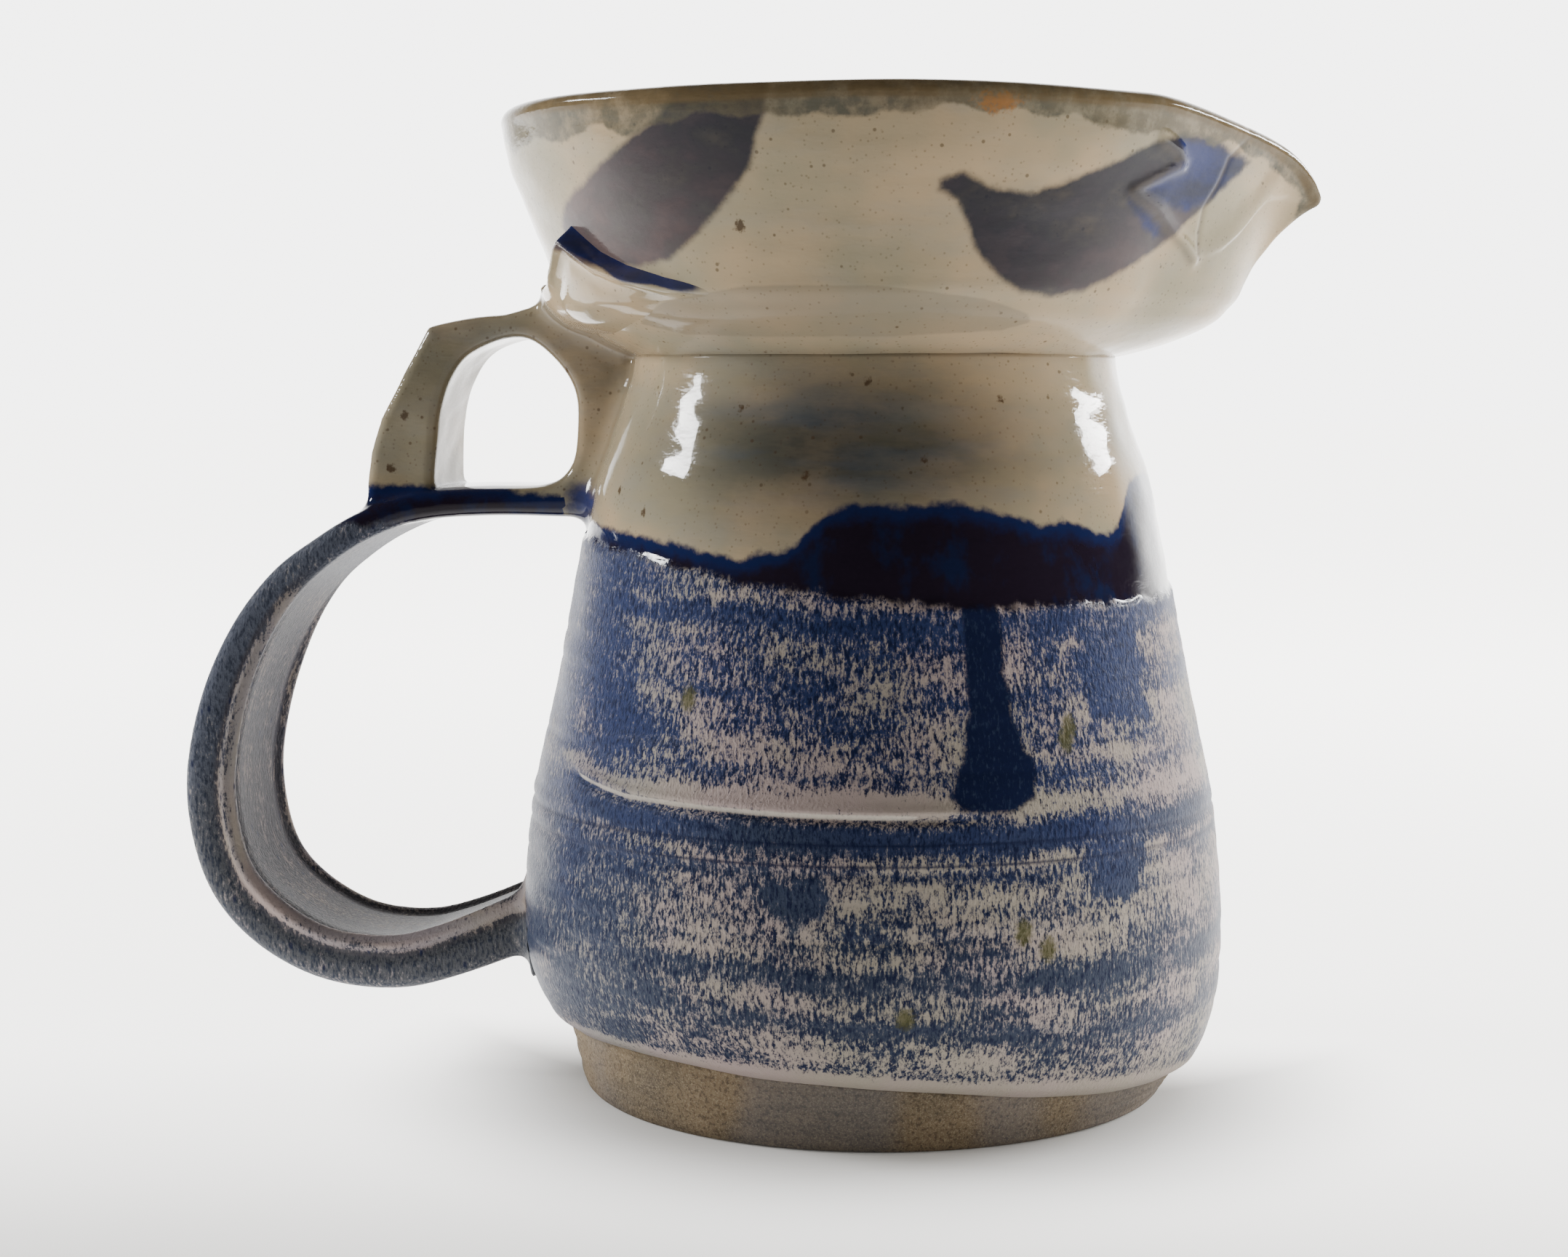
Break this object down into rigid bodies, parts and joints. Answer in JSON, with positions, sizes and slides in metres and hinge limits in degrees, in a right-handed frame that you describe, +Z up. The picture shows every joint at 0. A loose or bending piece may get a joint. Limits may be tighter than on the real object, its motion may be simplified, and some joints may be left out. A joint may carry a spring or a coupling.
{
  "type": "ceramic pitcher",
  "caption": "Hand-thrown stoneware pitcher with a flared collar, a beaked pouring lip and a strap handle under a finger arch.",
  "frame": {"origin": "centre of the foot's flat underside, on the axis that the pot was thrown about", "axes": "+Z up along the throwing axis, +X towards the pouring lip, -X towards the handle"},
  "size_m": [0.2347, 0.152, 0.1983],
  "materials": {
    "bare_stoneware": "unglazed grey-tan stoneware, matte and slightly gritty",
    "blue_glaze": "cobalt blue glaze breaking over pinkish beige in flecks and throwing rings, satin, with a glossy dark band above",
    "pale_glaze": "glossy pale grey-beige glaze with brown iron specks and grey-blue brush strokes"
  },
  "bodies": {
    "root": {"foot": "bare_stoneware", "body_wall": "blue_glaze", "collar": "pale_glaze", "pouring_lip": "pale_glaze", "handle_loop": "blue_glaze", "finger_arch": "pale_glaze", "collar_saddle": "pale_glaze"}
  },
  "joints": []
}
